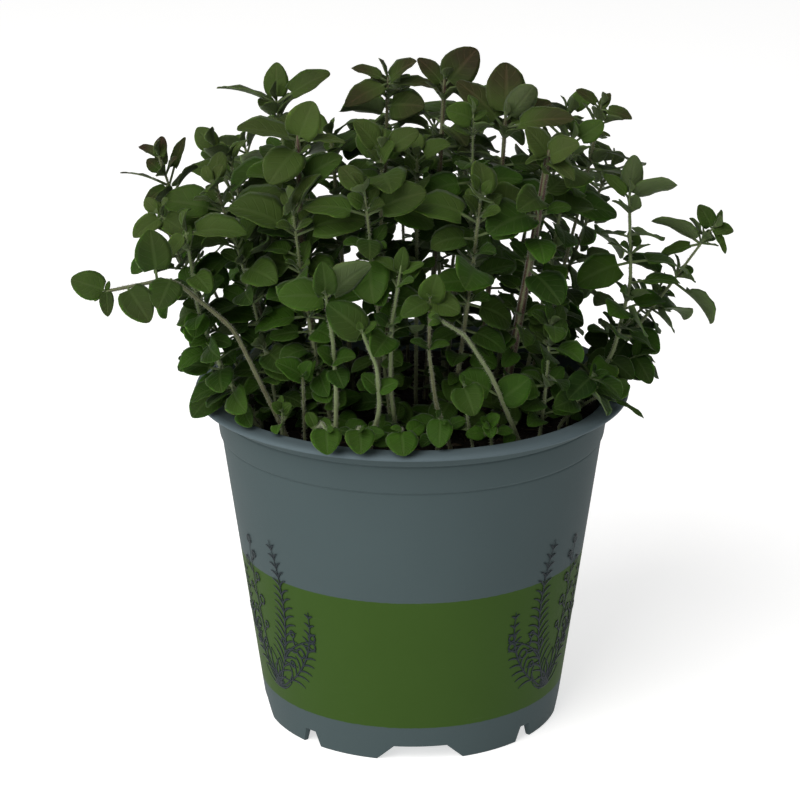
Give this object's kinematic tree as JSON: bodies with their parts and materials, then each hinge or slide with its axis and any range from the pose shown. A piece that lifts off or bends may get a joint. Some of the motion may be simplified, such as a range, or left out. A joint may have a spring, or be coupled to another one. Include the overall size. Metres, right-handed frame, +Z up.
{
  "type": "potted oregano",
  "caption": "Young oregano plant: a mound of slender leafy stems with small oval leaves, growing in a tapered round nursery pot that stands on the feet of its skirt.",
  "frame": {"origin": "centre of the ring that the pot stands on, at the feet's underside; the plant's box is centred over it", "axes": "+Z up along the pot's axis, -Y towards the picture's viewer, +X to that viewer's right"},
  "size_m": [0.19, 0.1335, 0.2047],
  "materials": {
    "pot_plastic": "satin",
    "compost": "loose and damp",
    "oregano_green": "soft, finely hairy"
  },
  "bodies": {
    "root": {"pot": "pot_plastic", "compost": "compost", "leafy_stem_01": "oregano_green", "leafy_stem_02": "oregano_green", "leafy_stem_03": "oregano_green", "leafy_stem_04": "oregano_green", "leafy_stem_05": "oregano_green", "leafy_stem_06": "oregano_green", "leafy_stem_07": "oregano_green", "leafy_stem_08": "oregano_green", "leafy_stem_09": "oregano_green", "leafy_stem_10": "oregano_green", "leafy_stem_11": "oregano_green", "leafy_stem_12": "oregano_green", "leafy_stem_13": "oregano_green", "leafy_stem_14": "oregano_green", "leafy_stem_15": "oregano_green", "leafy_stem_16": "oregano_green", "leafy_stem_17": "oregano_green", "leafy_stem_18": "oregano_green", "leafy_stem_19": "oregano_green", "leafy_stem_20": "oregano_green", "leafy_stem_21": "oregano_green", "leafy_stem_22": "oregano_green", "leafy_stem_23": "oregano_green", "leafy_stem_24": "oregano_green", "leafy_stem_25": "oregano_green", "leafy_stem_26": "oregano_green", "leafy_stem_27": "oregano_green", "leafy_stem_28": "oregano_green", "leafy_stem_29": "oregano_green", "leafy_stem_30": "oregano_green", "leafy_stem_31": "oregano_green", "leafy_stem_32": "oregano_green", "leafy_stem_33": "oregano_green", "leafy_stem_34": "oregano_green", "leafy_stem_35": "oregano_green", "leafy_stem_36": "oregano_green", "leafy_stem_37": "oregano_green", "leafy_stem_38": "oregano_green", "leafy_stem_39": "oregano_green", "leafy_stem_40": "oregano_green", "leafy_stem_41": "oregano_green", "leafy_stem_42": "oregano_green", "leafy_stem_43": "oregano_green", "leafy_stem_44": "oregano_green", "leafy_stem_45": "oregano_green", "leafy_stem_46": "oregano_green", "leafy_stem_47": "oregano_green", "leafy_stem_48": "oregano_green", "leafy_stem_49": "oregano_green", "leafy_stem_50": "oregano_green", "leafy_stem_51": "oregano_green", "leafy_stem_52": "oregano_green", "leafy_stem_53": "oregano_green", "leafy_stem_54": "oregano_green", "leafy_stem_55": "oregano_green", "leafy_stem_56": "oregano_green", "leafy_stem_57": "oregano_green", "leafy_stem_58": "oregano_green"}
  },
  "joints": []
}
